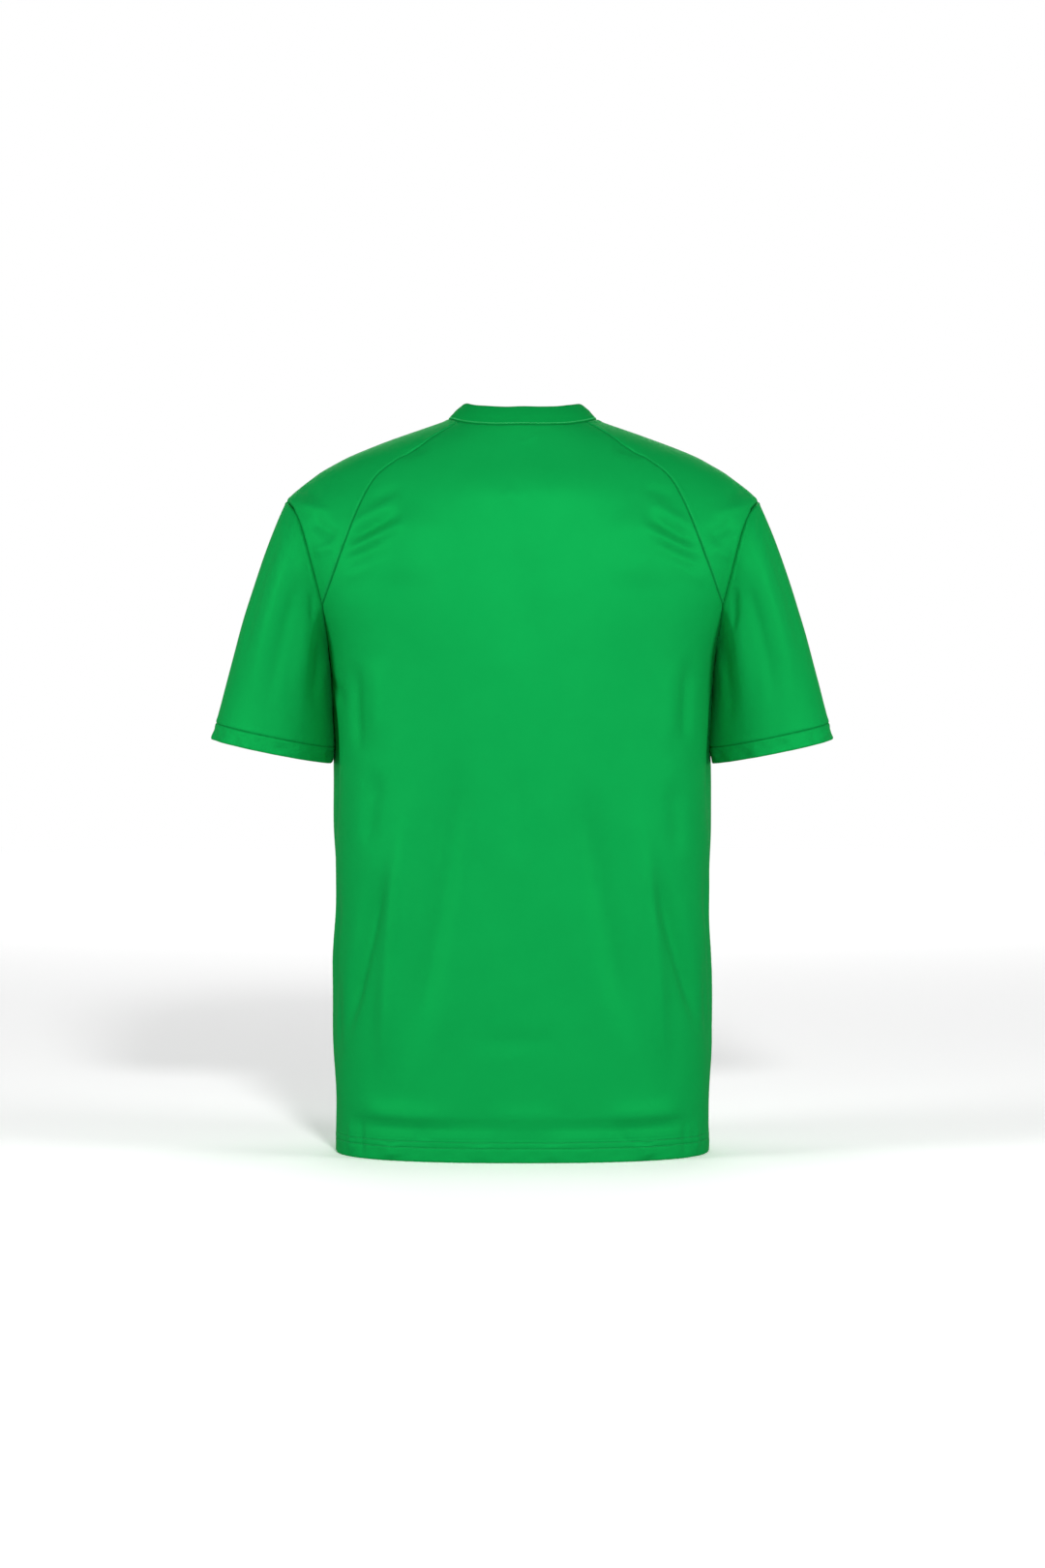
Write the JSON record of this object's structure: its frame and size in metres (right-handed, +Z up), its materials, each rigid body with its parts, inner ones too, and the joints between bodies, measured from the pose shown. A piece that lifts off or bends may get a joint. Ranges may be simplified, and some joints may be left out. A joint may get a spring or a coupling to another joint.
{
  "type": "football jersey",
  "caption": "Plain short-sleeved crew-neck football jersey in fine green knit with raglan-cut shoulder panels, standing hollow as if worn, with open neck, cuffs and hem.",
  "frame": {"origin": "middle of the neck base, level with the back neck seam, where the wearer's neck and shoulders hold the garment up", "axes": "+Z up, from the hem to the neck; +Y towards the back of the garment, so its front faces -Y; +X towards the wearer's left sleeve"},
  "size_m": [0.6054, 0.2611, 0.7274],
  "materials": {
    "jersey_knit": "fine polyester interlock knit, satin",
    "collar_rib": "fine polyester knit, folded double, satin"
  },
  "bodies": {
    "root": {"back_panel": "jersey_knit", "front_panel": "jersey_knit", "shoulder_panel_l": "jersey_knit", "shoulder_panel_r": "jersey_knit", "sleeve_l": "jersey_knit", "sleeve_r": "jersey_knit", "cuff_l": "jersey_knit", "cuff_r": "jersey_knit", "collar": "collar_rib"}
  },
  "joints": []
}
